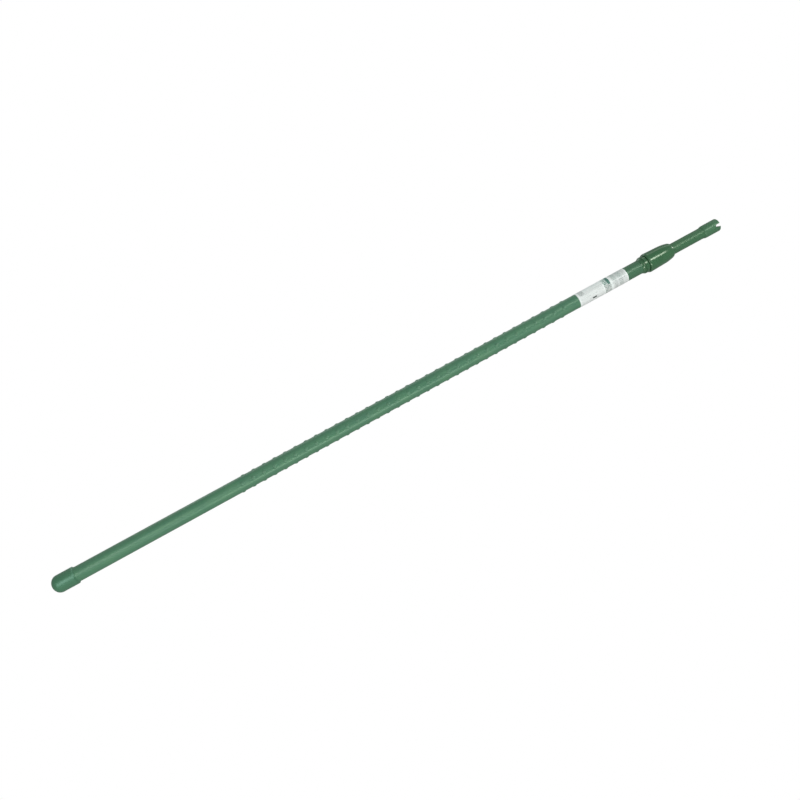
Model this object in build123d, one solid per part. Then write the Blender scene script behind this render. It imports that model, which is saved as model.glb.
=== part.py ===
from build123d import *
import os

# A telescopic garden stake, upright as it stands in the soil and pushed together.
# Millimetres, +Z up, with the origin on the pole's axis at the tip of the foot cap.

# The two tubes, steel inside a resin skin
outer_tube_length = 905.0
outer_diameter = 20.0            # over the skin
outer_skin_thickness = 0.75
outer_tube_wall = 0.5
telescope_gap = 0.65             # from the outer tube's bore to the inner skin
inner_skin_thickness = 0.7
inner_tube_wall = 0.5
inner_exposed_length = 53.6      # bare inner tube between the lock and the top cap

# Studs, domes on one left-hand helix
stud_height = 0.85
stud_dome_radius = 5.0
stud_lead = 15.5
studs_per_turn = 4
stud_first_angle = -12.0         # about +Z from +X
plain_foot_length = 232.0        # smooth skin from the foot cap to the first stud
plain_head_length = 15.5         # smooth skin from the last stud to the label

# Foot cap
foot_cap_length = 32.7
foot_cap_wall = 1.7
foot_crown_rise = 7.3            # from the tip to where the crown would meet the wall
foot_corner_round = 9.0          # rounds the crown into the wall
foot_floor_height = 9.0          # the tube stands on this floor
foot_core_wall = 3.2             # least thickness under the cored-out middle
foot_core_ledge = 1.8            # how far the floor reaches in from the tube's bore
foot_lip_round = 0.6

# Label
label_length = 80.4
label_thickness = 0.15
label_glue = 0.08                # layer of adhesive between the skin and the label
label_to_lock = 25.0

# Lock collar, pushed over the outer tube's upper end
collar_socket_depth = 19.0
collar_flare_length = 5.1
collar_flare_edge = 0.25         # thickness where the flare starts
collar_ring_height = 4.8
collar_ring_step = 1.0           # the ring stands out from the neck by this
collar_ring_round = 0.5
neck_wall = 1.3                  # threaded neck, over the outer skin
collar_shoulder = 2.5            # stops the tube below and the slider bush at full reach
seat_depth = 8.0                 # conical seat for the collet

# Clamp collet
collet_tip_wall = 0.9
collet_cone_rise = 0.8
collet_flange_step = 0.8
collet_flange_height = 3.0
collet_hub_wall = 1.1
collet_hub_height = 7.0
collet_slit_width = 1.2
collet_slits = 6
collet_ring_height = 2.5         # whole ring above the slits

# Lock nut
nut_length = 44.0
nut_wall = 2.5                   # over the thread, at its widest
nut_taper = 0.85                 # radius lost from the widest place to the shoulder
nut_edge_height = 2.4            # rounded lower edge
nut_edge_round = 0.9             # how far that edge draws in
nut_shoulder_length = 16.0       # from the end of the taper to the rim
nut_rim_width = 0.8
nut_rib_height = 1.2             # snap rib under the collet's flange
nut_rib_lap = 0.45
nut_groove = 1.0                 # open groove between the collar's ring and the nut

# Slider bush and end plug of the inner tube
bush_length = 100.5              # sets how far the slide reaches
bush_land_length = 12.0
bush_relief = 0.5
bush_split = 1.5
plug_head_height = 3.6
plug_spigot_length = 15.0
plug_spigot_wall = 1.4

# Top cap
top_cap_socket_depth = 14.5
top_cap_end = 12.0               # solid end above the tube
top_cap_wall = 1.25
top_cap_chamfer_length = 3.0
top_cap_chamfer_step = 0.9
top_cap_round = 0.6
slot_width = 4.6
slot_depth = 7.5                 # to the lowest place of its round bottom

# Clearances
guide_clearance = 0.1            # bush on the inner tube and in the outer bore
passage_clearance = 0.2          # collar and collet round the inner skin
seat_clearance = 0.15            # collet in its seat
thread_clearance = 0.3           # nut on the neck
running_clearance = 0.3          # nut round the collet
throat_clearance = 0.4           # nut's throat round the inner skin
axial_play = 0.2

rim_tolerance = 0.001            # for finding an edge by its place

# Radii that follow from the wall thicknesses
outer_skin_radius = outer_diameter / 2
outer_steel_radius = outer_skin_radius - outer_skin_thickness
outer_bore_radius = outer_steel_radius - outer_tube_wall
inner_skin_radius = outer_bore_radius - telescope_gap
inner_steel_radius = inner_skin_radius - inner_skin_thickness
inner_bore_radius = inner_steel_radius - inner_tube_wall
neck_radius = outer_skin_radius + neck_wall
passage_radius = inner_skin_radius + passage_clearance
collet_tip_radius = passage_radius + collet_tip_wall
collet_cone_radius = collet_tip_radius + collet_cone_rise
collet_flange_radius = collet_cone_radius + collet_flange_step
collet_hub_radius = passage_radius + collet_hub_wall
bush_land_radius = outer_bore_radius - guide_clearance

# Heights that follow from the lengths
outer_tube_top = foot_floor_height + outer_tube_length
collar_bottom = outer_tube_top - collar_socket_depth
label_top = collar_bottom - label_to_lock
label_bottom = label_top - label_length
collar_ring_bottom = collar_bottom + collar_flare_length
collar_ring_top = collar_ring_bottom + collar_ring_height
seat_bottom = outer_tube_top + collar_shoulder
neck_top = seat_bottom + seat_depth
nut_rib_bottom = neck_top + nut_rib_height
nut_rib_top = nut_rib_bottom + nut_rib_height
collet_tip = seat_bottom + axial_play
collet_flange_bottom = nut_rib_top + axial_play
collet_flange_top = collet_flange_bottom + collet_flange_height
collet_top = collet_flange_top + collet_hub_height
nut_bottom = collar_ring_top + nut_groove
nut_top = nut_bottom + nut_length
plug_bottom = foot_floor_height + axial_play
inner_tube_bottom = plug_bottom + plug_head_height
bush_bottom = inner_tube_bottom + axial_play
bush_top = bush_bottom + bush_length
inner_skin_bottom = bush_top + axial_play
top_cap_bottom = nut_top + inner_exposed_length
inner_tube_top = top_cap_bottom + top_cap_socket_depth
stake_top = inner_tube_top + top_cap_end


def turned(*edges):
    """Turn a closed outline of (radius, height) edges about the pole's axis."""
    outline = make_face(Wire(edges))
    return revolve(Plane.XZ * outline, Axis.Z)


def run(*points):
    """Straight edges through (radius, height) points."""
    return Polyline(*points).edges()


def round_rim(piece, radius, height, round_radius):
    """Round the circular edge that a turned piece has at this radius and height."""
    rim = [
        edge for edge in piece.edges().filter_by(GeomType.CIRCLE)
        if abs(edge.radius - radius) < rim_tolerance and abs(edge.center().Z - height) < rim_tolerance
    ]
    return fillet(rim, round_radius)


def sleeve(outer_radius, inner_radius, bottom, top):
    """Plain tube on the pole's axis."""
    ring = Circle(outer_radius) - Circle(inner_radius)
    return Pos(0, 0, bottom) * extrude(ring, top - bottom)


def make_outer_steel_tube():
    return sleeve(outer_steel_radius, outer_bore_radius, foot_floor_height, outer_tube_top)


def make_outer_green_skin():
    """Resin skin with a dome at every step of the helix."""
    skin = Pos(0, 0, foot_floor_height) * extrude(Circle(outer_skin_radius), outer_tube_length)
    dome_centre = outer_skin_radius + stud_height - stud_dome_radius
    dome_align = (Align.CENTER, Align.CENTER, Align.MIN)
    half_ball = Sphere(stud_dome_radius, arc_size1=0, align=dome_align)
    dome = Pos(dome_centre, 0, 0) * Rot(0, 90, 0) * half_ball
    step = stud_lead / studs_per_turn
    first = foot_cap_length + plain_foot_length
    count = int((label_bottom - plain_head_length - first) / step) + 1
    studs = []
    for index in range(count):
        angle = stud_first_angle - index * 360 / studs_per_turn
        studs.append(Pos(0, 0, first + index * step) * Rot(0, 0, angle) * dome)
    bore = Pos(0, 0, foot_floor_height) * extrude(Circle(outer_steel_radius), outer_tube_length)
    return skin + studs - bore


def make_foot_cap():
    """Round-ended cap, cored out below the floor that the tube stands on."""
    radius = outer_skin_radius + foot_cap_wall
    core_radius = outer_bore_radius - foot_core_ledge
    core = TangentArc((0, foot_core_wall), (core_radius, foot_floor_height), tangent=(1, 0))
    crown = TangentArc((0, 0), (radius, foot_crown_rise), tangent=(1, 0))
    wall = run(
        (radius, foot_crown_rise),
        (radius, foot_cap_length),
        (outer_skin_radius, foot_cap_length),
        (outer_skin_radius, foot_floor_height),
        (core_radius, foot_floor_height),
    )
    axis = run((0, foot_core_wall), (0, 0))
    cap = turned(*crown.edges(), *wall, *core.edges(), *axis)
    cap = round_rim(cap, radius, foot_crown_rise, foot_corner_round)
    return round_rim(cap, radius, foot_cap_length, foot_lip_round)


def make_label_sleeve():
    inner_radius = outer_skin_radius + label_glue
    return sleeve(inner_radius + label_thickness, inner_radius, label_bottom, label_top)


def make_lock_collar():
    """Flared socket, ring and threaded neck, with the collet's conical seat in its mouth."""
    ring_radius = neck_radius + collar_ring_step
    tip_seat = collet_tip_radius + seat_clearance
    mouth_seat = collet_cone_radius + seat_clearance
    flare_start = (outer_skin_radius + collar_flare_edge, collar_bottom)
    flare = TangentArc(flare_start, (ring_radius, collar_ring_bottom), tangent=(0, 1))
    body = run(
        (ring_radius, collar_ring_bottom),
        (ring_radius, collar_ring_top),
        (neck_radius, collar_ring_top),
        (neck_radius, neck_top),
        (mouth_seat, neck_top),
        (tip_seat, seat_bottom),
        (passage_radius, seat_bottom),
        (passage_radius, outer_tube_top),
        (outer_skin_radius, outer_tube_top),
        (outer_skin_radius, collar_bottom),
        flare_start,
    )
    collar = turned(*flare.edges(), *body)
    return round_rim(collar, ring_radius, collar_ring_top, collar_ring_round)


def make_clamp_collet():
    """Coned sleeve with a flange for the nut, slit from below so that it can close."""
    sleeve_blank = turned(*run(
        (passage_radius, collet_tip),
        (collet_tip_radius, collet_tip),
        (collet_cone_radius, neck_top),
        (collet_cone_radius, collet_flange_bottom),
        (collet_flange_radius, collet_flange_bottom),
        (collet_flange_radius, collet_flange_top),
        (collet_hub_radius, collet_flange_top),
        (collet_hub_radius, collet_top),
        (passage_radius, collet_top),
        (passage_radius, collet_tip),
    ))
    slit_height = collet_top - collet_ring_height - collet_tip
    slit_align = (Align.MIN, Align.CENTER, Align.MIN)
    slit = Pos(0, 0, collet_tip) * Box(collet_flange_radius, collet_slit_width, slit_height, align=slit_align)
    slits = [Rot(0, 0, index * 360 / collet_slits) * slit for index in range(collet_slits)]
    return sleeve_blank - slits


def make_lock_nut():
    """Barrel nut: thread below, snap groove for the collet's flange, narrow throat above."""
    thread_radius = neck_radius + thread_clearance
    widest = thread_radius + nut_wall
    shoulder_radius = widest - nut_taper
    shoulder_height = nut_top - nut_shoulder_length
    groove_radius = collet_flange_radius + running_clearance
    rib_radius = collet_flange_radius - nut_rib_lap
    hub_bore = collet_hub_radius + running_clearance
    throat_radius = inner_skin_radius + throat_clearance
    rim_radius = throat_radius + nut_rim_width
    taper_start = (widest, nut_bottom + nut_edge_height)
    taper_end = (shoulder_radius, shoulder_height)
    upwards = Vector(*taper_end) - Vector(*taper_start)
    edge = TangentArc(taper_start, (widest - nut_edge_round, nut_bottom), tangent=-upwards)
    taper = run(taper_start, taper_end)
    shoulder = TangentArc(taper_end, (rim_radius, nut_top), tangent=upwards)
    inside = run(
        (rim_radius, nut_top),
        (throat_radius, nut_top),
        (throat_radius, collet_top + axial_play),
        (hub_bore, collet_top + axial_play),
        (hub_bore, collet_flange_top + axial_play),
        (groove_radius, collet_flange_top + axial_play),
        (groove_radius, nut_rib_top),
        (rib_radius, nut_rib_top),
        (rib_radius, nut_rib_bottom),
        (thread_radius, nut_rib_bottom),
        (thread_radius, nut_bottom),
        (widest - nut_edge_round, nut_bottom),
    )
    return turned(*edge.edges(), *taper, *shoulder.edges(), *inside)


def make_slider_bush():
    """Split guide sleeve with a land at each end."""
    bush = sleeve(bush_land_radius, inner_steel_radius + guide_clearance, bush_bottom, bush_top)
    relief = sleeve(
        bush_land_radius + running_clearance,
        bush_land_radius - bush_relief,
        bush_bottom + bush_land_length,
        bush_top - bush_land_length,
    )
    split_align = (Align.CENTER, Align.MIN, Align.MIN)
    split_gap = Pos(0, 0, bush_bottom) * Box(bush_split, bush_land_radius, bush_length, align=split_align)
    return bush - relief - split_gap


def make_inner_end_plug():
    """Headed plug, hollow from below, pressed into the inner steel tube."""
    head_radius = bush_land_radius - running_clearance
    core_radius = inner_bore_radius - plug_spigot_wall
    spigot_top = inner_tube_bottom + plug_spigot_length
    return turned(*run(
        (0, spigot_top),
        (0, spigot_top - plug_spigot_wall),
        (core_radius, spigot_top - plug_spigot_wall),
        (core_radius, plug_bottom),
        (head_radius, plug_bottom),
        (head_radius, inner_tube_bottom),
        (inner_bore_radius, inner_tube_bottom),
        (inner_bore_radius, spigot_top),
        (0, spigot_top),
    ))


def make_inner_steel_tube():
    return sleeve(inner_steel_radius, inner_bore_radius, inner_tube_bottom, inner_tube_top)


def make_inner_green_skin():
    return sleeve(inner_skin_radius, inner_steel_radius, inner_skin_bottom, inner_tube_top)


def make_top_cap():
    """Cap over the inner tube, with one round-bottomed slot across its solid end."""
    radius = inner_skin_radius + top_cap_wall
    chamfer_radius = radius - top_cap_chamfer_step
    cap = turned(*run(
        (0, stake_top),
        (radius, stake_top),
        (radius, top_cap_bottom + top_cap_chamfer_length),
        (chamfer_radius, top_cap_bottom),
        (inner_skin_radius, top_cap_bottom),
        (inner_skin_radius, inner_tube_top),
        (0, inner_tube_top),
        (0, stake_top),
    ))
    slot_round = slot_width / 2
    slot_align = (Align.CENTER, Align.MAX)
    slot_outline = Pos(0, stake_top) * Rectangle(slot_width, slot_depth - slot_round, align=slot_align)
    slot_outline += Pos(0, stake_top - slot_depth + slot_round) * Circle(slot_round)
    slot = extrude(Plane.XZ * slot_outline, radius, both=True)
    return round_rim(cap, radius, stake_top, top_cap_round) - slot


pieces = {
    "outer_steel_tube": make_outer_steel_tube,
    "outer_green_skin": make_outer_green_skin,
    "foot_cap": make_foot_cap,
    "label_sleeve": make_label_sleeve,
    "lock_collar": make_lock_collar,
    "clamp_collet": make_clamp_collet,
    "lock_nut": make_lock_nut,
    "slider_bush": make_slider_bush,
    "inner_end_plug": make_inner_end_plug,
    "inner_steel_tube": make_inner_steel_tube,
    "inner_green_skin": make_inner_green_skin,
    "top_cap": make_top_cap,
}

os.makedirs("parts", exist_ok=True)
for name, make in pieces.items():
    export_step(make(), f"parts/{name}.step")
print(f"closed length {stake_top:.1f} mm, reach of the slide {outer_tube_top - bush_top:.1f} mm")
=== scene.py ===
from math import atan2, cos, pi, radians, sin

import bmesh
import bpy
from mathutils import Matrix, Vector


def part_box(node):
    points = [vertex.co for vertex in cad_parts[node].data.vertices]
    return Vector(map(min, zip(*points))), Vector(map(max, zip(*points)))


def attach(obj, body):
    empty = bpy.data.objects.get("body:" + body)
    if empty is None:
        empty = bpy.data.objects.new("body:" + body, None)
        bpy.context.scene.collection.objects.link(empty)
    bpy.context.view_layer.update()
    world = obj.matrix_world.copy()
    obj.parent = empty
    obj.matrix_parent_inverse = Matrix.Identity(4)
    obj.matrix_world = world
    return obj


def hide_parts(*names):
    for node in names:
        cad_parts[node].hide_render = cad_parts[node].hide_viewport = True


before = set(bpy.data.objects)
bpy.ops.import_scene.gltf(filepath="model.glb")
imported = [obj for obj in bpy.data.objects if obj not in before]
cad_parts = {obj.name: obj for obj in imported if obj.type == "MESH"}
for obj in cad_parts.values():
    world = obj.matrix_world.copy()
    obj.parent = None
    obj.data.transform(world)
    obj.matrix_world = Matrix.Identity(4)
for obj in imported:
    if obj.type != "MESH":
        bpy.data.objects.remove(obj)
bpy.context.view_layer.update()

# OUTER STEEL TUBE
# The core of the stake: a thin-walled welded tube of zinc-plated steel, 18.5 mm across.
# The skin is drawn over it, so only its rolled bore and its cut ends stay bare.


def linear(code):
    """Linear colour of an sRGB hex value."""
    channels = [int(code[place:place + 2], 16) / 255 for place in (1, 3, 5)]
    lit = [c / 12.92 if c <= 0.04045 else ((c + 0.055) / 1.055) ** 2.4 for c in channels]
    return (*lit, 1.0)


def per_metre(size):
    """Texture scale that gives features of this size in millimetres."""
    return 1000 / size


def add(tree, kind, inputs=None, **settings):
    """Add one shader node, set its properties, and fill or link its inputs.

    A colour Mix takes its share at input 0 and its colours at 6 and 7, and gives the result at output 2.
    """
    made = tree.nodes.new("ShaderNode" + kind)
    for name, value in settings.items():
        setattr(made, name, value)
    for name, value in (inputs or {}).items():
        if isinstance(value, bpy.types.NodeSocket):
            tree.links.new(value, made.inputs[name])
        else:
            made.inputs[name].default_value = value
    return made


def start_material(name):
    """An empty material and its node tree."""
    material = bpy.data.materials.new(name)
    material.use_nodes = True
    material.node_tree.nodes.clear()
    return material, material.node_tree


def dress(node, material):
    """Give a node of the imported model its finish."""
    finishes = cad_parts[node].data.materials
    finishes.clear()
    finishes.append(material)


# Zinc-plated steel strip: cool grey, with rolling lines along the tube and cloudy patches of zinc.
# The lines are drawn coarser than they are, so that they show.
zinc_plated_steel, tree = start_material("zinc_plated_steel")
place = add(tree, "TexCoord")
along = add(tree, "Mapping", {"Vector": place.outputs["Object"], "Scale": (1, 1, 0.02)})
rolling = add(tree, "TexNoise", {"Vector": along.outputs[0], "Scale": per_metre(0.8), "Detail": 4})
cloud = add(tree, "TexNoise", {"Vector": place.outputs["Object"], "Scale": per_metre(9), "Detail": 3})
zinc_grey = add(
    tree,
    "Mix",
    {0: cloud.outputs[0], 6: linear("#8F9496"), 7: linear("#B4B8B8")},
    data_type="RGBA",
)
zinc_rough = add(tree, "MapRange", {"Value": rolling.outputs[0], "To Min": 0.3, "To Max": 0.5})
zinc_lines = add(tree, "Bump", {"Height": rolling.outputs[0], "Strength": 0.2, "Distance": 0.00002})
zinc = add(tree, "BsdfPrincipled", {
    "Base Color": zinc_grey.outputs[2],
    "Metallic": 1.0,
    "Roughness": zinc_rough.outputs[0],
    "Normal": zinc_lines.outputs[0],
})
add(tree, "OutputMaterial", {"Surface": zinc.outputs[0]})

for tube in ("outer_steel_tube", "inner_steel_tube"):
    dress(tube, zinc_plated_steel)

# STUDDED SKIN
# The green coat of the outer tube, polyethylene drawn on hot 0.75 mm thick.
# Its studs, which keep ties from slipping, are domes embossed on one left-hand helix, four to a turn.

mm = 0.001
skin_low, skin_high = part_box("outer_green_skin")
skin_radius = 10.0
skin_wall = 0.75
stud_reach = 0.85
stud_half_length = 2.8
stud_half_width = 3.65
stud_lead = 15.5
studs_per_turn = 4
stud_count = 132
stud_first_height = 264.7
stud_first_angle = -12.0
stud_sides = 16
# Painted shade: the skin above the label, up to the lock, is painted darker, blending in over a few
# millimetres
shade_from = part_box("label_sleeve")[1].z
shade_blend = 4.0
turned_sides = 96
merge_reach = 0.002

# From a stud's crown outwards: share of its half size, and of its reach above the skin
stud_outline = ((0.4, 0.87), (0.7, 0.53), (0.92, 0.14), (1.06, -0.08))


def draw_to(mesh, vertex, radius, height):
    """Draw a straight edge of a turned outline to a new vertex, in millimetres from the axis and the foot."""
    new = bmesh.ops.extrude_vert_indiv(mesh, verts=[vertex])["verts"][0]
    new.co = (radius * mm, 0, height * mm)
    return new


def lathe(mesh, sides):
    """Turn the outline about the pole's axis and close it."""
    bmesh.ops.spin(
        mesh,
        geom=mesh.verts[:] + mesh.edges[:],
        cent=(0, 0, 0),
        axis=(0, 0, 1),
        angle=2 * pi,
        steps=sides,
        use_merge=True,
    )
    bmesh.ops.remove_doubles(mesh, verts=mesh.verts[:], dist=merge_reach * mm)
    bmesh.ops.recalc_face_normals(mesh, faces=mesh.faces[:])


def turn_tube(mesh, radius, wall, low, high):
    """Draw the wall of a plain tube between two heights in metres, and turn it."""
    corner = mesh.verts.new(((radius - wall) * mm, 0, low))
    last = draw_to(mesh, corner, radius, low / mm)
    last = draw_to(mesh, last, radius, high / mm)
    last = draw_to(mesh, last, radius - wall, high / mm)
    mesh.edges.new((last, corner))
    lathe(mesh, turned_sides)


def make_piece(mesh, name, material, crease=38):
    """Put a finished mesh into the scene, smooth except along its creases."""
    data = bpy.data.meshes.new(name)
    mesh.to_mesh(data)
    mesh.free()
    data.shade_smooth()
    data.set_sharp_from_angle(angle=radians(crease))
    data.materials.append(material)
    piece = bpy.data.objects.new(name, data)
    bpy.context.scene.collection.objects.link(piece)
    return piece


# Satin polyethylene: soft mid green with a green gleam, a little cloudy, with drawing lines along the tube
# and studs rubbed paler. Between the label and the lock the green is painted darker, as painted shade.
# The lines and the grain are drawn coarser than they are, so that they show.
satin_skin, tree = start_material("satin_polyethylene_skin")
place = add(tree, "TexCoord")
along = add(tree, "Mapping", {"Vector": place.outputs["Object"], "Scale": (1, 1, 0.015)})
cloud = add(tree, "TexNoise", {"Vector": place.outputs["Object"], "Scale": per_metre(16), "Detail": 4})
streak = add(tree, "TexNoise", {"Vector": along.outputs[0], "Scale": per_metre(1.1), "Detail": 3})
grain = add(tree, "TexNoise", {"Vector": place.outputs["Object"], "Scale": per_metre(0.9), "Detail": 2})
skin_cloudy = add(
    tree,
    "Mix",
    {0: cloud.outputs[0], 6: linear("#3E6D58"), 7: linear("#51805F")},
    data_type="RGBA",
)
skin_streaky = add(
    tree,
    "Mix",
    {0: 0.16, 6: skin_cloudy.outputs[2], 7: streak.outputs[1]},
    data_type="RGBA",
    blend_type="SOFT_LIGHT",
)
rubbed = add(tree, "Attribute", attribute_name="rubbed")
rubbed_share = add(tree, "Math", {0: rubbed.outputs["Fac"], 1: grain.outputs[0]}, operation="MULTIPLY")
skin_green = add(
    tree,
    "Mix",
    {0: rubbed_share.outputs[0], 6: skin_streaky.outputs[2], 7: linear("#577F67")},
    data_type="RGBA",
)
height = add(tree, "SeparateXYZ", {0: place.outputs["Object"]})
# Painted shade: from the label's top upwards the skin's green is mixed to a darker green
shade_share = add(tree, "MapRange", {
    "Value": height.outputs[2],
    "From Min": shade_from - shade_blend * mm,
    "From Max": shade_from,
})
skin_shaded = add(
    tree,
    "Mix",
    {0: shade_share.outputs[0], 6: skin_green.outputs[2], 7: linear("#3D674C")},
    data_type="RGBA",
)
skin_rough = add(tree, "MapRange", {"Value": streak.outputs[0], "To Min": 0.33, "To Max": 0.45})
skin_lines = add(tree, "Bump", {"Height": streak.outputs[0], "Strength": 0.25, "Distance": 0.00004})
skin_grain = add(tree, "Bump", {
    "Height": grain.outputs[0],
    "Strength": 0.2,
    "Distance": 0.00005,
    "Normal": skin_lines.outputs[0],
})
skin = add(tree, "BsdfPrincipled", {
    "Base Color": skin_shaded.outputs[2],
    "Roughness": skin_rough.outputs[0],
    "Normal": skin_grain.outputs[0],
    "Specular IOR Level": 0.6,
    "Specular Tint": (0.76, 1.0, 0.77, 1.0),
    "IOR": 1.5,
})
add(tree, "OutputMaterial", {"Surface": skin.outputs[0]})

mesh = bmesh.new()
mesh.verts.layers.float.new("rubbed")
turn_tube(mesh, skin_radius, skin_wall, skin_low.z, skin_high.z)

stud_mesh = bmesh.new()
rubbed_stud = stud_mesh.verts.layers.float.new("rubbed")
last = stud_mesh.verts.new((0, 0, 1))
for share, reach in stud_outline:
    last = bmesh.ops.extrude_vert_indiv(stud_mesh, verts=[last])["verts"][0]
    last.co = (share, 0, reach)
lathe(stud_mesh, stud_sides)
bmesh.ops.holes_fill(stud_mesh, edges=stud_mesh.edges[:])
for vertex in stud_mesh.verts:
    wide, long, reach = vertex.co
    vertex[rubbed_stud] = max(0, reach) ** 2
    turn = wide * stud_half_width / skin_radius
    radius = (skin_radius + reach * stud_reach) * mm
    stud_height = (stud_first_height + long * stud_half_length) * mm
    vertex.co = (radius * cos(turn), radius * sin(turn), stud_height)
bmesh.ops.recalc_face_normals(stud_mesh, faces=stud_mesh.faces[:])
stud_data = bpy.data.meshes.new("stud")
stud_mesh.to_mesh(stud_data)
stud_mesh.free()
for index in range(stud_count):
    before = len(mesh.verts)
    mesh.from_mesh(stud_data)
    mesh.verts.ensure_lookup_table()
    stud = mesh.verts[before:]
    angle = radians(stud_first_angle - index * 360 / studs_per_turn)
    bmesh.ops.rotate(mesh, verts=stud, cent=(0, 0, 0), matrix=Matrix.Rotation(angle, 3, "Z"))
    bmesh.ops.translate(mesh, verts=stud, vec=(0, 0, index * stud_lead / studs_per_turn * mm))
bpy.data.meshes.remove(stud_data)

studded_skin = make_piece(mesh, "studded_skin", satin_skin)
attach(studded_skin, "outer_pole")
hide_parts("outer_green_skin")

# FOOT CAP
# The round end that goes into the soil: one polyethylene moulding, pushed over the tube and glued.
# The mould was filled at the tip, which still has the dimple with the stub of the gate.

foot_radius = 11.7
foot_length = 32.7
foot_bore = 10.02
foot_floor = 9.0
foot_crown = 13.0
foot_corner = 9.0
foot_lip_bevel = 1.5
gate_dimple = 2.0
gate_dimple_depth = 0.3
gate_dimple_slope = 0.35
gate_stub_end = 0.25
gate_stub_tip = 0.55
gate_stub_root = 0.65


def sweep_to(mesh, vertex, radius, height, tangent, steps):
    """Draw an arc of a turned outline from a vertex, along a tangent (radius, height), to a new vertex."""
    start = Vector((vertex.co.x, vertex.co.z))
    chord = Vector((radius * mm, height * mm)) - start
    across = Vector((-tangent[1], tangent[0])).normalized()
    reach = chord.length_squared / (2 * chord.dot(across))
    centre = start + across * reach
    turn = 2 * atan2(chord.dot(across), chord.dot(Vector(tangent).normalized()))
    arc = bmesh.ops.spin(
        mesh,
        geom=[vertex],
        cent=(centre.x, 0, centre.y),
        axis=(0, -1, 0),
        angle=turn,
        steps=steps,
    )
    return arc["geom_last"][0]


# Moulded polyethylene: the skin's green a shade deeper, even and satin, with the dull grain of the mould,
# which is drawn coarser than it is, so that it shows
moulded_foot, tree = start_material("moulded_polyethylene_foot")
place = add(tree, "TexCoord")
cloud = add(tree, "TexNoise", {"Vector": place.outputs["Object"], "Scale": per_metre(14), "Detail": 4})
grain = add(tree, "TexNoise", {"Vector": place.outputs["Object"], "Scale": per_metre(0.7), "Detail": 2})
foot_green = add(
    tree,
    "Mix",
    {0: cloud.outputs[0], 6: linear("#3A674C"), 7: linear("#477658")},
    data_type="RGBA",
)
foot_rough = add(tree, "MapRange", {"Value": cloud.outputs[0], "To Min": 0.31, "To Max": 0.41})
foot_grain = add(tree, "Bump", {"Height": grain.outputs[0], "Strength": 0.2, "Distance": 0.00006})
foot = add(tree, "BsdfPrincipled", {
    "Base Color": foot_green.outputs[2],
    "Roughness": foot_rough.outputs[0],
    "Normal": foot_grain.outputs[0],
    "Specular IOR Level": 0.8,
    "Specular Tint": (0.62, 1.0, 0.86, 1.0),
    "IOR": 1.5,
})
add(tree, "OutputMaterial", {"Surface": foot.outputs[0]})

corner_in = foot_radius - foot_corner
corner_up = foot_crown - ((foot_crown - foot_corner) ** 2 - corner_in ** 2) ** 0.5
crown_end = foot_crown * corner_in / (foot_crown - foot_corner)
crown_end_up = foot_crown - (foot_crown - corner_up) * foot_crown / (foot_crown - foot_corner)
dimple_up = foot_crown - (foot_crown ** 2 - gate_dimple ** 2) ** 0.5
mesh = bmesh.new()
last = mesh.verts.new((0, 0, gate_stub_end * mm))
last = draw_to(mesh, last, gate_stub_tip, gate_stub_end)
last = draw_to(mesh, last, gate_stub_root, dimple_up + gate_dimple_depth)
last = draw_to(mesh, last, gate_dimple - gate_dimple_slope, dimple_up + gate_dimple_depth)
last = draw_to(mesh, last, gate_dimple, dimple_up)
last = sweep_to(mesh, last, crown_end, crown_end_up, (foot_crown - dimple_up, gate_dimple), steps=8)
last = sweep_to(mesh, last, foot_radius, corner_up, (foot_crown - crown_end_up, crown_end), steps=10)
last = draw_to(mesh, last, foot_radius, foot_length - foot_lip_bevel)
last = draw_to(mesh, last, foot_radius - foot_lip_bevel, foot_length)
last = draw_to(mesh, last, foot_bore, foot_length)
last = draw_to(mesh, last, foot_bore, foot_floor)
last = draw_to(mesh, last, 0, foot_floor)
lathe(mesh, turned_sides)

foot_cap = make_piece(mesh, "round_foot_cap", moulded_foot)
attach(foot_cap, "outer_pole")
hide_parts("foot_cap")

# LABEL
# A strip of coated white paper wound once round the tube above the studs and stuck to itself,
# with a printed green band and rows of grey blocks. The overlap lies at the back.

label_low, label_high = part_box("label_sleeve")
label_radius = 10.2
label_length = (label_high.z - label_low.z) / mm
label_round = 2 * pi * label_radius
label_overlap = 22.0
label_seam = 78.0
label_lift = 0.13
label_lift_from = 345.0
label_lift_over = 15.0
label_steps = 120
paper_thickness = 0.1

# Coated paper: white with a faint green-grey wash, semi-matt, with flat printed blocks.
# Its map is in millimetres, so the scales below give patches of wash of about 8 mm and fibres of 0.7 mm,
# which are drawn coarser than they are, so that they show.
printed_paper, tree = start_material("printed_coated_paper")
wound = add(tree, "UVMap", uv_map="wound")
flat = add(tree, "Mapping", {"Vector": wound.outputs[0], "Scale": (label_round, label_length, 1)})
split = add(tree, "SeparateXYZ", {0: flat.outputs[0]})
turned = add(tree, "CombineXYZ", {0: split.outputs[1], 1: split.outputs[0]})
wash = add(tree, "TexNoise", {"Vector": flat.outputs[0], "Scale": 0.12, "Detail": 3})
paper_white = add(
    tree,
    "Mix",
    {0: wash.outputs[0], 6: linear("#DAE4E0"), 7: linear("#E9F0ED")},
    data_type="RGBA",
)

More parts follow.
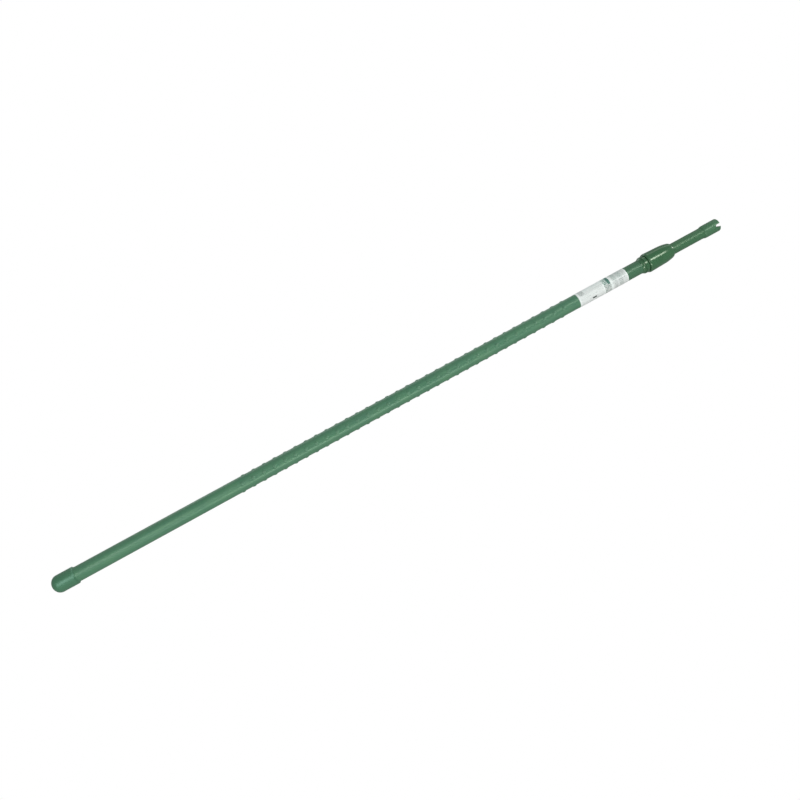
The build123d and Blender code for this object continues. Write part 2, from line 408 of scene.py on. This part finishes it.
# Rows of blocks: two inks that vary, the ink of the gaps, and a block's length and height in millimetres
row_inks = []
for first_ink, second_ink, gap_ink, long, tall in (
    ("#CAD3CF", "#DBE1DE", "#DEE4E1", 5.0, 2.2),
    ("#C6CFCB", "#DAE1DE", "#DDE3E1", 5.0, 2.2),
    ("#3F6F62", "#A9C3B9", "#D3E0DA", 4.0, 2.4),
    ("#7D928A", "#C0C9C5", "#CBD0CD", 4.0, 2.4),
    ("#9AACA5", "#B6C3BD", "#C4CECA", 3.2, 2.2),
    # The grey rows' inks are a shade darker than the print: painted shade for the label's right half
    ("#9BA6A2", "#BFC6C3", "#CBD2CF", 3.2, 2.2),
):
    blocks = add(tree, "TexBrick", {
        "Vector": turned.outputs[0],
        "Color1": linear(first_ink),
        "Color2": linear(second_ink),
        "Mortar": linear(gap_ink),
        "Scale": 1.0,
        "Mortar Size": 0.4,
        "Brick Width": long,
        "Row Height": tall,
    })
    row_inks.append(blocks.outputs[0])
faint_rows, pale_rows, dark_rows, light_rows, green_rows, grey_rows = row_inks

# Printed panels, each over the one before: lower, upper, left and right edge in millimetres, and ink
printed = paper_white.outputs[2]
for low, high, left, right, ink in (
    (2.5, 39.5, 26.0, 36.0, faint_rows),
    (2.5, 39.5, 36.0, 61.0, pale_rows),
    (3.0, 11.0, 29.0, 36.0, pale_rows),
    (3.4, 11.0, 8.8, 29.0, grey_rows),
    (41.6, 52.0, 0.0, 31.4, dark_rows),
    (41.6, 52.0, 31.4, 64.1, light_rows),
    (48.0, 52.0, 14.0, 32.6, linear("#4B786C")),
    (55.5, 78.6, 0.0, 31.4, linear("#C7D0CC")),
    # The right half's wash is a shade darker than the print: painted shade on that half
    (55.5, 78.6, 32.2, 64.1, linear("#CFD6D3")),
    (57.6, 62.6, 4.0, 31.4, green_rows),
    (65.4, 71.8, 4.0, 31.4, green_rows),
    (57.6, 62.6, 32.2, 59.4, grey_rows),
    (65.4, 71.8, 32.2, 59.4, grey_rows),
    (20.2, 26.6, 38.4, 40.9, linear("#37413C")),
):
    in_height = add(
        tree,
        "Math",
        {0: split.outputs[1], 1: (low + high) / 2, 2: (high - low) / 2},
        operation="COMPARE",
    )
    in_width = add(
        tree,
        "Math",
        {0: split.outputs[0], 1: (left + right) / 2, 2: (right - left) / 2},
        operation="COMPARE",
    )
    panel = add(tree, "Math", {0: in_height.outputs[0], 1: in_width.outputs[0]}, operation="MULTIPLY")
    printed = add(tree, "Mix", {0: panel.outputs[0], 6: printed, 7: ink}, data_type="RGBA").outputs[2]
paper_fibre = add(tree, "TexNoise", {"Vector": flat.outputs[0], "Scale": 1.4, "Detail": 4})
paper_bump = add(tree, "Bump", {"Height": paper_fibre.outputs[0], "Strength": 0.15, "Distance": 0.00005})
paper_rough = add(tree, "MapRange", {"Value": wash.outputs[0], "To Min": 0.38, "To Max": 0.5})
paper = add(tree, "BsdfPrincipled", {
    "Base Color": printed,
    "Roughness": paper_rough.outputs[0],
    "Normal": paper_bump.outputs[0],
    "IOR": 1.48,
})
add(tree, "OutputMaterial", {"Surface": paper.outputs[0]})

mesh = bmesh.new()
turn_layer = mesh.verts.layers.float.new("turn")
seam = Vector((cos(radians(label_seam)), sin(radians(label_seam)), 0)) * label_radius * mm
low_corner = mesh.verts.new(seam + Vector((0, 0, label_low.z)))
high_corner = mesh.verts.new(seam + Vector((0, 0, label_high.z)))
strips = [mesh.edges.new((low_corner, high_corner))]
wound_turn = radians(360 + label_overlap)
one_step = Matrix.Rotation(wound_turn / label_steps, 3, "Z")
for step in range(label_steps):
    made = bmesh.ops.extrude_edge_only(mesh, edges=strips)["geom"]
    strips = [part for part in made if isinstance(part, bmesh.types.BMEdge)]
    ends = [part for part in made if isinstance(part, bmesh.types.BMVert)]
    bmesh.ops.rotate(mesh, verts=ends, cent=(0, 0, 0), matrix=one_step)
    for end in ends:
        end[turn_layer] = (step + 1) * wound_turn / label_steps
for vertex in mesh.verts:
    over = (vertex[turn_layer] - radians(label_lift_from)) / radians(label_lift_over)
    over = min(1, max(0, over))
    lift = label_lift * over * over * (3 - 2 * over) * mm
    flat_place = vertex.co.xy.normalized() * (label_radius * mm + lift)
    vertex.co = (flat_place.x, flat_place.y, vertex.co.z)
bmesh.ops.recalc_face_normals(mesh, faces=mesh.faces[:])
mesh.faces.ensure_lookup_table()
if mesh.faces[0].normal.dot(mesh.faces[0].calc_center_median()) < 0:
    bmesh.ops.reverse_faces(mesh, faces=mesh.faces[:])
wound_layer = mesh.loops.layers.uv.new("wound")
for face in mesh.faces:
    for loop in face.loops:
        up = (loop.vert.co.z - label_low.z) / (label_length * mm)
        loop[wound_layer].uv = (loop.vert[turn_layer] / (2 * pi), up)
bmesh.ops.solidify(mesh, geom=mesh.faces[:], thickness=paper_thickness * mm)

label = make_piece(mesh, "wound_label", printed_paper)
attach(label, "outer_pole")
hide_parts("label_sleeve")

# LOCK COLLAR
# The fixed half of the twist lock: glossy moulded plastic with a flare, glued over the outer tube's top end.
# Above its ring is a short neck with the screw thread for the nut and, in its mouth, the seat of the collet.

collar_low, collar_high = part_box("lock_collar")
collar_foot = collar_low.z / mm
collar_top = collar_high.z / mm
collar_bore = 10.02
flare_edge = 10.25
flare_top = collar_foot + 5.1
ring_radius = 12.3
ring_top = flare_top + 4.8
ring_round = 0.5
groove_width = 1.0
groove_radius = 11.5
edge_break = 0.2
neck_radius = 11.3
neck_chamfer = 0.4
seat_mouth = 10.15
seat_foot = 9.35
seat_depth = 8.0
stop_bore = 8.3
stop_depth = 10.5
thread_start = 0.6
thread_pitch = 3.0
thread_width = 1.5
thread_reach = 0.2
thread_root = 0.1
thread_turns = 5
thread_steps = 48

# Moulded polypropylene: deep glossy green with faint flow marks and the hair scratches of handling,
# which are drawn coarser than they are, so that they show
glossy_lock, tree = start_material("moulded_polypropylene_lock")
place = add(tree, "TexCoord")
flow = add(tree, "TexNoise", {
    "Vector": place.outputs["Object"],
    "Scale": per_metre(16),
    "Detail": 3,
    "Distortion": 0.6,
})
scratch_map = add(tree, "Mapping", {"Vector": place.outputs["Object"], "Scale": (1, 1, 0.1)})
scratch = add(tree, "TexNoise", {"Vector": scratch_map.outputs[0], "Scale": per_metre(0.9), "Detail": 4})
lock_green = add(
    tree,
    "Mix",
    {0: flow.outputs[0], 6: linear("#2C5739"), 7: linear("#3A6947")},
    data_type="RGBA",
)
lock_rough = add(tree, "MapRange", {"Value": scratch.outputs[0], "To Min": 0.18, "To Max": 0.25})
lock_bump = add(tree, "Bump", {"Height": scratch.outputs[0], "Strength": 0.1, "Distance": 0.00001})
lock_shine = add(tree, "BsdfPrincipled", {
    "Base Color": lock_green.outputs[2],
    "Roughness": lock_rough.outputs[0],
    "Normal": lock_bump.outputs[0],
    "Specular IOR Level": 0.7,
    "Specular Tint": (0.86, 1.0, 0.78, 1.0),
    "IOR": 1.49,
})
add(tree, "OutputMaterial", {"Surface": lock_shine.outputs[0]})

mesh = bmesh.new()
first = mesh.verts.new((collar_bore * mm, 0, collar_foot * mm))
last = draw_to(mesh, first, flare_edge, collar_foot)
last = sweep_to(mesh, last, ring_radius - edge_break, flare_top - groove_width, (0, 1), steps=8)
last = draw_to(mesh, last, groove_radius, flare_top - groove_width + edge_break)
last = draw_to(mesh, last, groove_radius, flare_top)
last = draw_to(mesh, last, ring_radius - edge_break, flare_top)
last = draw_to(mesh, last, ring_radius, flare_top + edge_break)
last = draw_to(mesh, last, ring_radius, ring_top - ring_round)
last = sweep_to(mesh, last, ring_radius - ring_round, ring_top, (0, 1), steps=4)
last = draw_to(mesh, last, neck_radius, ring_top)
last = draw_to(mesh, last, neck_radius, collar_top - neck_chamfer)
last = draw_to(mesh, last, neck_radius - neck_chamfer, collar_top)
last = draw_to(mesh, last, seat_mouth, collar_top)
last = draw_to(mesh, last, seat_foot, collar_top - seat_depth)
last = draw_to(mesh, last, stop_bore, collar_top - seat_depth)
last = draw_to(mesh, last, stop_bore, collar_top - stop_depth)
last = draw_to(mesh, last, collar_bore, collar_top - stop_depth)
mesh.edges.new((last, first))
lathe(mesh, turned_sides)
thread_foot = ring_top + thread_start
ridge = [
    mesh.verts.new(((neck_radius - thread_root) * mm, 0, thread_foot * mm)),
    mesh.verts.new(((neck_radius + thread_reach) * mm, 0, (thread_foot + thread_width / 2) * mm)),
    mesh.verts.new(((neck_radius - thread_root) * mm, 0, (thread_foot + thread_width) * mm)),
]
ridge_end = mesh.faces.new(ridge)
bmesh.ops.spin(
    mesh,
    geom=[ridge_end],
    cent=(0, 0, 0),
    axis=(0, 0, 1),
    angle=2 * pi * thread_turns,
    steps=thread_steps * thread_turns,
    dvec=(0, 0, thread_pitch / thread_steps * mm),
)
bmesh.ops.recalc_face_normals(mesh, faces=mesh.faces[:])

collar = make_piece(mesh, "flared_collar", glossy_lock, crease=30)
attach(collar, "outer_pole")
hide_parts("lock_collar")

# CLAMP COLLET AND SLIDER BUSH
# Two nylon mouldings inside the stake: the slit cone that the nut draws down on the inner tube,
# and the long split sleeve that guides the inner tube in the outer one and stops it at full reach.

# Natural nylon: waxy off-white, slightly cloudy, dull from the grain of the mould,
# which is drawn coarser than it is, so that it shows
natural_nylon, tree = start_material("natural_nylon")
place = add(tree, "TexCoord")
cloud = add(tree, "TexNoise", {"Vector": place.outputs["Object"], "Scale": per_metre(6), "Detail": 4})
nylon_white = add(
    tree,
    "Mix",
    {0: cloud.outputs[0], 6: linear("#D6D3C5"), 7: linear("#EAE8DE")},
    data_type="RGBA",
)
nylon_rough = add(tree, "MapRange", {"Value": cloud.outputs[0], "To Min": 0.4, "To Max": 0.55})
nylon_grain = add(tree, "TexNoise", {"Vector": place.outputs["Object"], "Scale": per_metre(0.5), "Detail": 2})
nylon_bump = add(tree, "Bump", {"Height": nylon_grain.outputs[0], "Strength": 0.15, "Distance": 0.00004})
nylon = add(tree, "BsdfPrincipled", {
    "Base Color": nylon_white.outputs[2],
    "Roughness": nylon_rough.outputs[0],
    "Normal": nylon_bump.outputs[0],
    "IOR": 1.53,
})
add(tree, "OutputMaterial", {"Surface": nylon.outputs[0]})

for moulding in ("clamp_collet", "slider_bush"):
    dress(moulding, natural_nylon)

# LOCK NUT
# The half of the twist lock that the hand turns: a smooth barrel of glossy moulded plastic with a blunt end.
# It screws down on the collar's neck and carries the collet with a lip inside.

nut_low, nut_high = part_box("lock_nut")
nut_foot = nut_low.z / mm
nut_top = nut_high.z / mm
nut_widest = 14.1
nut_edge_height = 2.4
nut_edge_in = 0.9
nut_taper = 0.85
nut_shoulder = 18.0
nut_brow = 11.2
nut_brow_depth = 3.4
nut_rim = 9.2
nut_throat = 8.5
nut_thread = 11.6
nut_rib = 10.35
nut_rib_height = 1.2
collet_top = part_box("clamp_collet")[1].z / mm
collet_play = 0.2
hub_bore = 9.7
hub_height = 7.0
flange_bore = 11.1
flange_height = 3.0
rim_break = 0.2
nut_sides = 128
same_place = 0.01


def break_edges(mesh, edges, width, clamp_overlap=False):
    """Round edges over by a small width."""
    bmesh.ops.bevel(
        mesh,
        geom=edges,
        offset=width * mm,
        offset_type="OFFSET",
        segments=3,
        profile=0.5,
        affect="EDGES",
        clamp_overlap=clamp_overlap,
        material=-1,
    )


mesh = bmesh.new()
taper_foot = nut_foot + nut_edge_height
shoulder_foot = nut_top - nut_shoulder
flange_top = collet_top - hub_height + collet_play
rib_top = collet_top - hub_height - flange_height - collet_play
upwards = (-nut_taper, shoulder_foot - taper_foot)
downwards = (nut_taper, taper_foot - shoulder_foot)
first = mesh.verts.new((nut_widest * mm, 0, taper_foot * mm))
edge_end = sweep_to(mesh, first, nut_widest - nut_edge_in, nut_foot, downwards, steps=8)
last = draw_to(mesh, first, nut_widest - nut_taper, shoulder_foot)

# The shoulder is two arcs, and the upper one leaves in the direction in which the lower one ends
shoulder_chord = Vector((nut_brow - nut_widest + nut_taper, nut_shoulder - nut_brow_depth)).normalized()
over_brow = -Vector(upwards).reflect(shoulder_chord)
last = sweep_to(mesh, last, nut_brow, nut_top - nut_brow_depth, upwards, steps=14)
last = sweep_to(mesh, last, nut_rim, nut_top, over_brow, steps=8)
last = draw_to(mesh, last, nut_throat, nut_top)
last = draw_to(mesh, last, nut_throat, collet_top + collet_play)
last = draw_to(mesh, last, hub_bore, collet_top + collet_play)
last = draw_to(mesh, last, hub_bore, flange_top)
last = draw_to(mesh, last, flange_bore, flange_top)
last = draw_to(mesh, last, flange_bore, rib_top)
last = draw_to(mesh, last, nut_rib, rib_top)
last = draw_to(mesh, last, nut_rib, rib_top - nut_rib_height)
last = draw_to(mesh, last, nut_thread, rib_top - nut_rib_height)
last = draw_to(mesh, last, nut_thread, nut_foot)
mesh.edges.new((last, edge_end))
lathe(mesh, nut_sides)
rims = [
    edge for edge in mesh.edges
    if all(abs(vertex.co.z - nut_high.z) < same_place * mm for vertex in edge.verts)
    and abs(edge.verts[0].co.xy.length - edge.verts[1].co.xy.length) < same_place * mm
]
break_edges(mesh, rims, rim_break)

nut = make_piece(mesh, "barrel_nut", glossy_lock)
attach(nut, "lock_nut")
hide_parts("lock_nut")

# INNER SKIN AND END PLUG
# The coat of the sliding tube, a harder polyethylene drawn on smooth, so that it slips through the lock.
# A black plug with a head closes the tube's lower end and carries the guide bush.

inner_low, inner_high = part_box("inner_green_skin")
inner_radius = 8.1
inner_wall = 0.7

# Semi-gloss polyethylene: deeper green than the outer skin, with drawing lines and rub marks from the lock.
# The lines are drawn coarser than they are, so that they show.
slick_skin, tree = start_material("slick_polyethylene_skin")
place = add(tree, "TexCoord")
along = add(tree, "Mapping", {"Vector": place.outputs["Object"], "Scale": (1, 1, 0.012)})
streak = add(tree, "TexNoise", {"Vector": along.outputs[0], "Scale": per_metre(0.9), "Detail": 4})
cloud = add(tree, "TexNoise", {"Vector": place.outputs["Object"], "Scale": per_metre(22), "Detail": 3})
inner_cloudy = add(
    tree,
    "Mix",
    {0: cloud.outputs[0], 6: linear("#345F40"), 7: linear("#3F6B4C")},
    data_type="RGBA",
)
inner_green = add(
    tree,
    "Mix",
    {0: 0.2, 6: inner_cloudy.outputs[2], 7: streak.outputs[1]},
    data_type="RGBA",
    blend_type="SOFT_LIGHT",
)
inner_rough = add(tree, "MapRange", {"Value": streak.outputs[0], "To Min": 0.36, "To Max": 0.44})
inner_lines = add(tree, "Bump", {"Height": streak.outputs[0], "Strength": 0.1, "Distance": 0.00002})
inner_skin = add(tree, "BsdfPrincipled", {
    "Base Color": inner_green.outputs[2],
    "Roughness": inner_rough.outputs[0],
    "Normal": inner_lines.outputs[0],
    "Specular Tint": (0.82, 1.0, 0.74, 1.0),
    "IOR": 1.5,
})
add(tree, "OutputMaterial", {"Surface": inner_skin.outputs[0]})

mesh = bmesh.new()
turn_tube(mesh, inner_radius, inner_wall, inner_low.z, inner_high.z)

inner_coat = make_piece(mesh, "smooth_inner_skin", slick_skin)
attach(inner_coat, "inner_pole")
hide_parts("inner_green_skin")

# Black polyethylene: near black, dull, a little dusty
black_plug, tree = start_material("black_polyethylene_plug")
place = add(tree, "TexCoord")
dust = add(tree, "TexNoise", {"Vector": place.outputs["Object"], "Scale": per_metre(5), "Detail": 4})
plug_black = add(
    tree,
    "Mix",
    {0: dust.outputs[0], 6: linear("#1B1D1C"), 7: linear("#2C2F2D")},
    data_type="RGBA",
)
plug_rough = add(tree, "MapRange", {"Value": dust.outputs[0], "To Min": 0.45, "To Max": 0.65})
plug_bump = add(tree, "Bump", {"Height": dust.outputs[0], "Strength": 0.1, "Distance": 0.00005})
plug = add(tree, "BsdfPrincipled", {
    "Base Color": plug_black.outputs[2],
    "Roughness": plug_rough.outputs[0],
    "Normal": plug_bump.outputs[0],
    "IOR": 1.5,
})
add(tree, "OutputMaterial", {"Surface": plug.outputs[0]})
dress("inner_end_plug", black_plug)

# TOP CAP
# A moulded polyethylene cap glued over the inner tube, chamfered where it starts and rounded at its end.
# The slot across its end takes string or netting, and its edges are broken so that they don't cut.

cap_low, cap_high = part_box("top_cap")
cap_foot = cap_low.z / mm
cap_top = cap_high.z / mm
cap_radius = 9.35
cap_bore = 8.12
cap_round = 0.6
cap_chamfer = 0.9
cap_chamfer_height = 3.0
cap_end = 12.0
slot_half = 2.3
slot_depth = 7.5
slot_floor = cap_top - slot_depth
slot_edge = 0.25
slot_edge_angle = 30.0
cutter_over = 1.0
cutter_half = 1.5 * cap_radius

# Moulded polyethylene: the inner skin's deeper green, even and satin, with the dull grain of the mould,
# which is drawn coarser than it is, so that it shows
moulded_cap, tree = start_material("moulded_polyethylene_cap")
place = add(tree, "TexCoord")
cloud = add(tree, "TexNoise", {"Vector": place.outputs["Object"], "Scale": per_metre(10), "Detail": 4})
grain = add(tree, "TexNoise", {"Vector": place.outputs["Object"], "Scale": per_metre(0.7), "Detail": 2})
cap_green = add(
    tree,
    "Mix",
    {0: cloud.outputs[0], 6: linear("#376244"), 7: linear("#447051")},
    data_type="RGBA",
)
cap_rough = add(tree, "MapRange", {"Value": cloud.outputs[0], "To Min": 0.35, "To Max": 0.45})
cap_grain = add(tree, "Bump", {"Height": grain.outputs[0], "Strength": 0.18, "Distance": 0.00005})
cap_satin = add(tree, "BsdfPrincipled", {
    "Base Color": cap_green.outputs[2],
    "Roughness": cap_rough.outputs[0],
    "Normal": cap_grain.outputs[0],
    "Specular IOR Level": 0.65,
    "Specular Tint": (0.76, 1.0, 0.77, 1.0),
    "IOR": 1.5,
})
add(tree, "OutputMaterial", {"Surface": cap_satin.outputs[0]})

mesh = bmesh.new()
last = mesh.verts.new((0, 0, cap_top * mm))
last = draw_to(mesh, last, cap_radius - cap_round, cap_top)
last = sweep_to(mesh, last, cap_radius, cap_top - cap_round, (1, 0), steps=5)
last = draw_to(mesh, last, cap_radius, cap_foot + cap_chamfer_height)
last = draw_to(mesh, last, cap_radius - cap_chamfer, cap_foot)
last = draw_to(mesh, last, cap_bore, cap_foot)
last = draw_to(mesh, last, cap_bore, cap_top - cap_end)
last = draw_to(mesh, last, 0, cap_top - cap_end)
lathe(mesh, turned_sides)
blank = make_piece(mesh, "cap_blank", moulded_cap)
mesh = bmesh.new()
first = mesh.verts.new((-slot_half * mm, 0, (cap_top + cutter_over) * mm))
last = draw_to(mesh, first, -slot_half, slot_floor + slot_half)
last = sweep_to(mesh, last, slot_half, slot_floor + slot_half, (0, -1), steps=16)
last = draw_to(mesh, last, slot_half, cap_top + cutter_over)
mesh.edges.new((last, first))
outline = bmesh.ops.contextual_create(mesh, geom=mesh.edges[:])["faces"]
bmesh.ops.translate(mesh, verts=mesh.verts[:], vec=(0, -cutter_half * mm, 0))
pushed = bmesh.ops.extrude_face_region(mesh, geom=outline)["geom"]
pushed = [part for part in pushed if isinstance(part, bmesh.types.BMVert)]
bmesh.ops.translate(mesh, verts=pushed, vec=(0, 2 * cutter_half * mm, 0))
bmesh.ops.recalc_face_normals(mesh, faces=mesh.faces[:])
cutter = make_piece(mesh, "slot_cutter", moulded_cap)
cut = blank.modifiers.new("slot", "BOOLEAN")
cut.operation = "DIFFERENCE"
cut.object = cutter
bpy.context.view_layer.update()
slotted = bpy.data.meshes.new_from_object(blank.evaluated_get(bpy.context.evaluated_depsgraph_get()))
bpy.data.objects.remove(blank)
bpy.data.objects.remove(cutter)
mesh = bmesh.new()
mesh.from_mesh(slotted)
slot_rim = [
    edge for edge in mesh.edges
    if edge.calc_face_angle(0) > radians(slot_edge_angle)
    and all(abs(vertex.co.x) < (slot_half + same_place) * mm for vertex in edge.verts)
    and all(vertex.co.z > (slot_floor - same_place) * mm for vertex in edge.verts)
]
break_edges(mesh, slot_rim, slot_edge, clamp_overlap=True)

top_cap = make_piece(mesh, "slotted_top_cap", moulded_cap)
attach(top_cap, "inner_pole")
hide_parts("top_cap")

# FLOOR AND BACKDROP
# A white studio: a pale round floor under the foot and a white dome round everything.
# Only the camera sees them, so the light on the stake comes from the lamps and the pale air alone.

floor_radius = 5.0
dome_radius = 6.0

# Lit white paper: even white, with no shadow
studio_white, tree = start_material("lit_white_paper")
white = add(tree, "Emission", {"Color": (1, 1, 1, 1), "Strength": 1.0})
add(tree, "OutputMaterial", {"Surface": white.outputs[0]})

mesh = bmesh.new()
bmesh.ops.create_circle(mesh, cap_ends=True, segments=turned_sides, radius=floor_radius)
floor = make_piece(mesh, "studio_floor", studio_white)
mesh = bmesh.new()
bmesh.ops.create_uvsphere(mesh, u_segments=48, v_segments=24, radius=dome_radius)
bmesh.ops.reverse_faces(mesh, faces=mesh.faces[:])
dome = make_piece(mesh, "studio_dome", studio_white)
for stage in (floor, dome):
    stage.visible_diffuse = False
    stage.visible_glossy = False
    stage.visible_transmission = False
    stage.visible_volume_scatter = False
    stage.visible_shadow = False

# CAMERA
# Close to the stake, below its middle and turned on its side, so that the pole runs up to the right.
# The lean is the pole's direction in the picture, and the pole passes two pixels beside the middle.

tilt = radians(7.5)
heading = radians(12)
lean = Vector((0.87743, 0.47971))
distance = 1.0144
aim_height = 0.5033
picture_width = 800
lens_length = 33.75
sensor_width = 36
pole_aside = 1.95
aim_aside = pole_aside / (picture_width * lens_length / sensor_width) * distance
ahead = Vector((sin(heading), cos(heading), 0))
aside = Vector((cos(heading), -sin(heading), 0))
upright = Vector((0, 0, 1))
forward = ahead * cos(tilt) + upright * sin(tilt)
along_pole = upright * cos(tilt) - ahead * sin(tilt)
right = along_pole * lean.x + aside * lean.y
up = along_pole * lean.y - aside * lean.x
camera_data = bpy.data.cameras.new("camera")
camera_data.lens = lens_length
camera_data.sensor_width = sensor_width
camera = bpy.data.objects.new("camera", camera_data)
stand = Matrix((right, up, -forward)).transposed().to_4x4()
stand.translation = upright * aim_height + aside * aim_aside - forward * distance
camera.matrix_world = stand
bpy.context.scene.collection.objects.link(camera)
bpy.context.scene.camera = camera

# LIGHTS
# Soft boxes round the stake: a tall one to the right for the long gleam on the studs with two softer ones
# beside it, a weak one in front on the left, three high ones for the gleams on the lock, two low ones
# for the foot and two behind for the edges. The side lamp is faintly warm and the rim lamp faintly cool.

air_strength = 0.36

bpy.context.scene.view_settings.view_transform = "Standard"
world = bpy.data.worlds.new("studio_air")
world.use_nodes = True
world.node_tree.nodes["Background"].inputs["Color"].default_value = (1, 1, 1, 1)
world.node_tree.nodes["Background"].inputs["Strength"].default_value = air_strength
bpy.context.scene.world = world

# Turn from the camera in degrees; distance, height, box width and box height in metres; power in watts;
# height that it faces; tint
for name, turn, out, height, wide, tall, power, aim, tint in (
    ("tall_lamp", 41, 2.2, 0.5, 0.4, 1.4, 18.5, 0.5, "#FFFFFF"),
    ("side_lamp", 85, 1.8, 0.5, 1.6, 2.2, 2.8, 0.5, "#FFE4DC"),
    ("front_lamp", -26, 1.6, 0.5, 0.8, 0.9, 1.0, 0.5, "#FFFFFF"),
    ("upper_lamp", 64, 1.8, 1.1, 0.4, 0.9, 0.7, 0.8, "#FFFFFF"),
    ("lock_lamp", -10, 1.1, 1.46, 0.26, 0.42, 4.8, 0.95, "#FFFFFF"),
    ("above_lamp", -42, 0.63, 3.2, 0.56, 0.64, 15.0, 0.95, "#FFFFFF"),
    ("left_lamp", -92, 1.5, 2.2, 0.4, 1.0, 1.6, 0.95, "#FFFFFF"),
    ("foot_lamp", -8, 1.1, -0.22, 0.24, 0.5, 1.5, 0.05, "#FFFFFF"),
    ("low_lamp", 7, 1.1, -0.3, 0.5, 0.6, 2.9, 0.05, "#FFFFFF"),
    ("rim_lamp", -120, 1.6, 0.6, 0.8, 1.8, 6.0, 0.55, "#F4F9FF"),
    ("back_lamp", 180, 2.0, 0.7, 1.6, 1.6, 11.2, 0.55, "#FFFFFF"),
):
    lamp_data = bpy.data.lights.new(name, "AREA")
    lamp_data.shape = "RECTANGLE"
    lamp_data.size = wide
    lamp_data.size_y = tall
    lamp_data.energy = power
    lamp_data.color = linear(tint)[:3]
    lamp = bpy.data.objects.new(name, lamp_data)
    lamp.visible_camera = False
    outward = aside * sin(radians(turn)) - ahead * cos(radians(turn))
    lamp.location = outward * out + upright * height
    facing = upright * aim - lamp.location
    lamp.rotation_euler = facing.to_track_quat("-Z", "Y").to_euler()
    bpy.context.scene.collection.objects.link(lamp)
